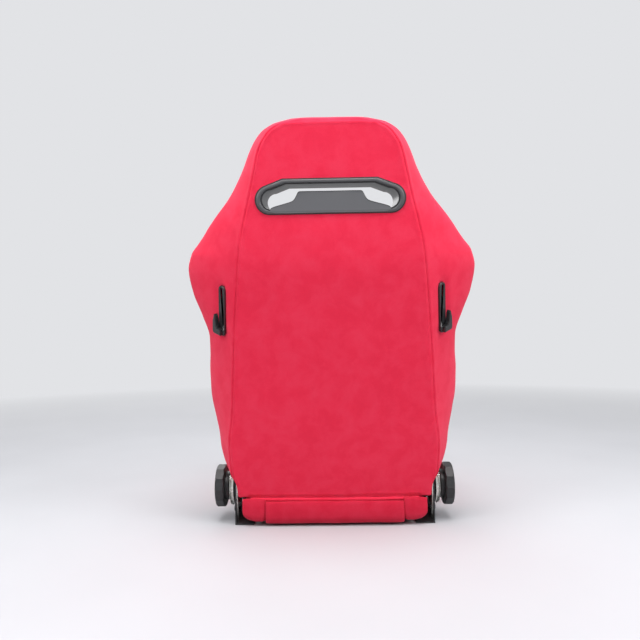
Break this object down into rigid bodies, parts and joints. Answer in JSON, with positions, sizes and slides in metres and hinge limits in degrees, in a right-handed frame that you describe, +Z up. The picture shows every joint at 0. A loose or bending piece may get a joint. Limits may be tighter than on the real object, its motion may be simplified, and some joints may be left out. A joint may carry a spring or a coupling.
{
  "type": "reclining sports seat",
  "caption": "Padded suede sports bucket seat on a steel base, with a slotted headrest, recliner dials and shoulder release levers.",
  "frame": {"origin": "centre of the four foot bolts, on the plane of the foot flanges", "axes": "+Z up, -Y the way the seated person faces, +X across to that person's left"},
  "size_m": [0.5902, 0.7431, 0.8198],
  "materials": {
    "suede": "napped suede",
    "black_plastic": "satin moulded",
    "grey_plate": "satin",
    "zinc": "bright zinc",
    "black_paint": "satin black",
    "spring_steel": "oiled spring steel",
    "bolt_black": "black oxide",
    "cable_sheath": "smooth"
  },
  "bodies": {
    "base": {"side_member_left": "black_paint", "side_member_right": "black_paint", "front_cross_member": "black_paint", "rear_cross_tube": "black_paint", "recliner_fitting_left": "zinc", "recliner_fitting_right": "zinc", "mount_weld_nuts": "zinc", "spring_pins": "zinc", "side_bolts": "bolt_black", "helper_spring_left": "spring_steel", "helper_spring_right": "spring_steel", "seat_springs": "spring_steel", "cushion_insert": "suede", "thigh_roll": "suede", "cushion_rear_roll": "suede", "cushion_tail_flap": "suede", "cushion_tail_lobes": "suede", "cushion_bolster_left": "suede", "cushion_bolster_right": "suede"},
    "recliner_arms": {"recliner_hub_left": "zinc", "recliner_hub_right": "zinc", "latch_plate_left": "zinc", "latch_plate_right": "zinc", "recliner_disc_left": "zinc", "recliner_disc_right": "zinc"},
    "recline_dials": {"recline_dial_left": "black_plastic", "recline_dial_right": "black_plastic", "synchronising_shaft": "zinc"},
    "backrest": {"back_frame_tube": "black_paint", "back_side_plate_left": "black_paint", "back_side_plate_right": "black_paint", "latch_housing_left": "black_paint", "latch_housing_right": "black_paint", "lower_cross_member": "black_paint", "upper_cross_member": "black_paint", "lever_bracket_left": "black_paint", "lever_bracket_right": "black_paint", "stop_pins": "zinc", "back_springs": "spring_steel", "release_cable_left": "cable_sheath", "release_cable_right": "cable_sheath", "lever_escutcheon_left": "black_plastic", "lever_escutcheon_right": "black_plastic", "head_bezel_rear": "black_plastic", "head_bezel_front": "black_plastic", "head_slot_liner": "black_plastic", "head_slot_plate": "grey_plate", "backrest_rear_cover": "suede", "backrest_insert": "suede", "head_pad": "suede", "lumbar_bolster_left": "suede", "lumbar_bolster_right": "suede", "shoulder_bolster_left": "suede", "shoulder_bolster_right": "suede"},
    "lever_left": {"release_lever_left": "black_plastic"},
    "lever_right": {"release_lever_right": "black_plastic"}
  },
  "joints": [
    {"name": "recline", "type": "hinge", "parent": "base", "child": "recliner_arms", "pos_m": [0, 0.215, 0.075], "axis": [-1, 0, 0], "range_deg": [-8, 47], "deforming": ["helper_spring_left", "helper_spring_right", "cushion_tail_flap", "cushion_tail_lobes"]},
    {"name": "fold", "type": "hinge", "parent": "recliner_arms", "child": "backrest", "pos_m": [0, 0.215, 0.075], "axis": [1, 0, 0], "range_deg": [0, 36], "deforming": ["cushion_rear_roll"]},
    {"name": "dial_turn", "type": "hinge", "parent": "base", "child": "recline_dials", "pos_m": [0, 0.215, 0.075], "axis": [-1, 0, 0], "range_deg": [-248, 1457]},
    {"name": "lever_left_lift", "type": "hinge", "parent": "backrest", "child": "lever_left", "pos_m": [0.2145, 0.27481, 0.48561], "axis": [1, 0, 0], "range_deg": [0, 24], "stiffness_Nm_per_rad": 0.8, "springref_deg": -17.19},
    {"name": "lever_right_lift", "type": "hinge", "parent": "backrest", "child": "lever_right", "pos_m": [-0.2145, 0.27481, 0.48561], "axis": [1, 0, 0], "range_deg": [0, 24], "stiffness_Nm_per_rad": 0.8, "springref_deg": -17.19}
  ],
  "couplings": [
    {"joint": "dial_turn", "follows": "recline", "ratio": 31}
  ]
}
